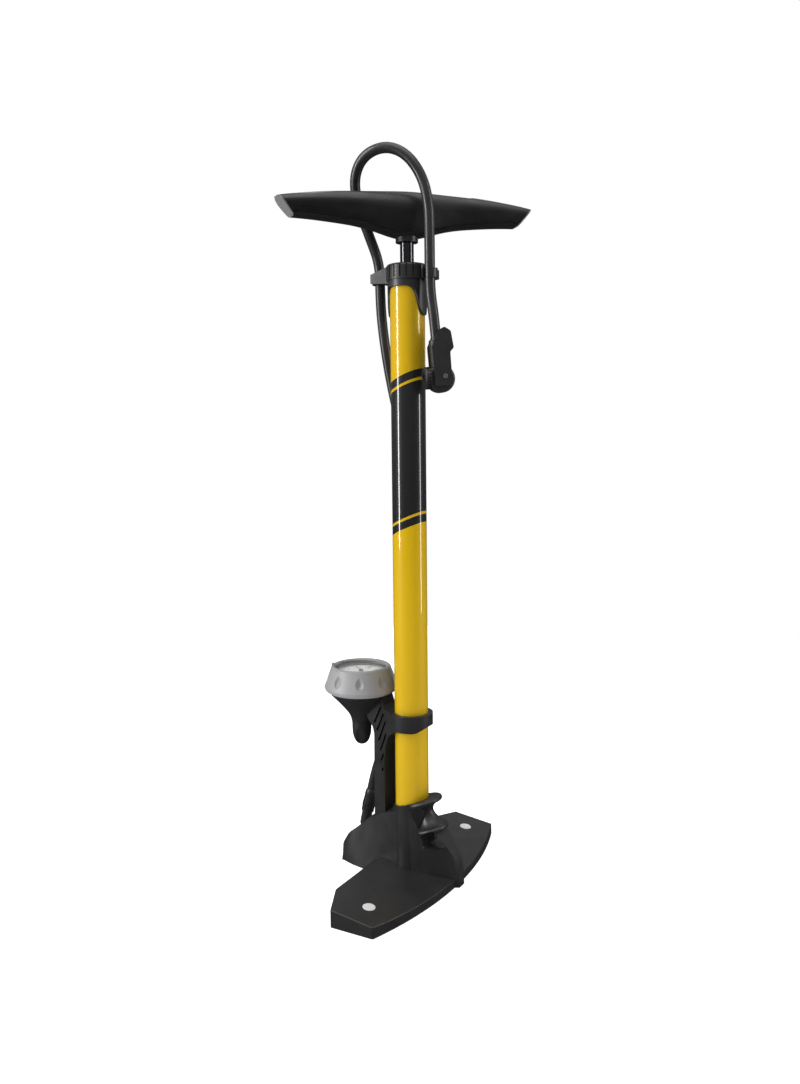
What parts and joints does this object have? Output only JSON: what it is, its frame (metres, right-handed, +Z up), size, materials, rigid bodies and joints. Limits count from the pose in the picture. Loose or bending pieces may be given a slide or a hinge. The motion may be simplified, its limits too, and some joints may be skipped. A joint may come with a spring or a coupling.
{
  "type": "floor bike pump",
  "caption": "Upright floor pump with a steel barrel, T-handle, winged foot, dial gauge on a bracket, and a hose with a lever valve head looped over the handle.",
  "frame": {"origin": "on the floor, on the barrel's axis, at the middle of the foot's underside", "axes": "+Z up along the barrel and rod; +Y from the barrel to the gauge; the foot's wings spread along X"},
  "size_m": [0.2458, 0.1822, 0.6811],
  "materials": {
    "moulded_black": "fine-grained moulded black plastic, satin",
    "grip_black": "satin black glass-filled plastic",
    "lacquer_yellow": "glossy clear-coated yellow lacquer on steel tube",
    "stud_grey": "light grey studs, satin",
    "pad_rubber": "soft non-slip rubber",
    "pad_grey": "soft mid-grey elastomer",
    "bezel_grey": "mid-grey moulded plastic, satin",
    "dial_white": "printed white dial",
    "lens_clear": "clear gauge lens",
    "needle_dark": "black lacquered needle",
    "dark_chrome": "dark hard-chromed rod",
    "steel": "turned steel",
    "brass": "turned brass",
    "hose_rubber": "smooth black rubber hose, satin",
    "white_acetal": "natural acetal"
  },
  "bodies": {
    "root": {"base_body": "moulded_black", "foot_studs": "stud_grey", "anti_slip_pads": "pad_rubber", "outlet_blanking_plug": "brass", "barrel": "lacquer_yellow", "foot_plug": "white_acetal", "foot_plug_seal": "pad_rubber", "check_valve_spring": "steel", "check_valve_cage": "brass", "gauge_bracket": "moulded_black", "gauge_pipe": "steel", "gauge_housing": "moulded_black", "gauge_dial": "dial_white", "gauge_spacer": "moulded_black", "gauge_lens": "lens_clear", "gauge_movement": "brass", "bourdon_tube": "brass", "top_cap": "moulded_black", "rod_bush": "white_acetal", "hose": "hose_rubber", "hose_elbow": "moulded_black", "hose_nut": "moulded_black", "head_body": "moulded_black", "valve_collar": "moulded_black", "valve_gasket": "pad_rubber", "hose_barb": "brass"},
    "plunger": {"piston": "white_acetal", "piston_cup": "pad_rubber", "piston_washer": "steel", "top_bumper": "pad_rubber"},
    "handle": {"rod": "dark_chrome", "handle_grip": "grip_black", "handle_inserts": "pad_grey", "handle_end_caps": "pad_grey", "handle_nut": "steel", "piston_nut": "steel"},
    "poppet": {"check_valve_poppet": "brass"},
    "lever": {"lever": "moulded_black", "lever_pin": "steel"},
    "pusher": {"head_pusher": "white_acetal"},
    "needle": {"gauge_needle": "needle_dark"},
    "bezel": {"gauge_bezel": "bezel_grey"}
  },
  "joints": [
    {"name": "plunger_slide", "type": "slide", "parent": "root", "child": "plunger", "axis": [0, 0, 1], "range_m": [0, 0.475], "deforming": ["hose"]},
    {"name": "handle_turn", "type": "hinge", "parent": "plunger", "child": "handle", "pos_m": [0, 0, 0.6], "axis": [0, 0, 1], "range_deg": [-4, 60]},
    {"name": "lever_swing", "type": "hinge", "parent": "root", "child": "lever", "pos_m": [-0.00306, -0.03705, 0.47681], "axis": [0.7507, 0.6607, 0], "range_deg": [0, 95]},
    {"name": "pusher_slide", "type": "slide", "parent": "root", "child": "pusher", "axis": [-0.6581, 0.7478, -0.0872], "range_m": [0, 0.0009]},
    {"name": "needle_turn", "type": "hinge", "parent": "root", "child": "needle", "pos_m": [0, 0.056, 0.1965], "axis": [0, 0, -1], "range_deg": [0, 270], "stiffness_Nm_per_rad": 0.00002},
    {"name": "bezel_turn", "type": "hinge", "parent": "root", "child": "bezel", "pos_m": [0, 0.056, 0.19], "axis": [0, 0, 1], "continuous": true},
    {"name": "check_valve_lift", "type": "slide", "parent": "root", "child": "poppet", "axis": [0, 0, -1], "range_m": [0, 0.0015], "stiffness_N_per_m": 200, "springref_m": -0.001, "deforming": ["check_valve_spring"]}
  ],
  "couplings": [
    {"joint": "pusher_slide", "follows": "lever_swing", "m_per_rad": 0.00050903}
  ]
}
